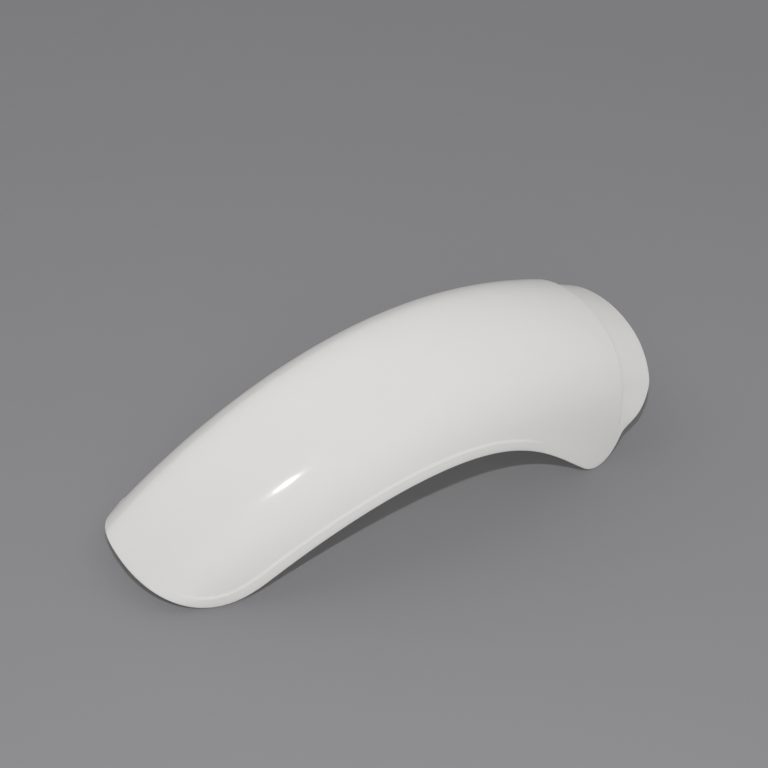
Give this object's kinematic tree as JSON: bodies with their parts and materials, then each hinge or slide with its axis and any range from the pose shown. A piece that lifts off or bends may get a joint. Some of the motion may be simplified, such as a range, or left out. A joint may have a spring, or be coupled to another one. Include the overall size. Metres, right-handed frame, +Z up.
{
  "type": "motocross rear fender",
  "caption": "Arched moulded rear fender for a motocross motorcycle, with a raised rim lip, dropped side lobes and a stepped front tongue that tucks under the seat.",
  "frame": {"origin": "centre of the bounding box in plan, on the ground that the rims rest on", "axes": "+X from the tail to the tongue, +Y to the side that is farther off in the picture, +Z up; the shell rests on its tail rim and its two side lobes, arch up"},
  "size_m": [0.5534, 0.2392, 0.1395],
  "materials": {
    "fender": "glossy white moulded plastic, coloured right through"
  },
  "bodies": {
    "root": {"fender": "fender"}
  },
  "joints": []
}
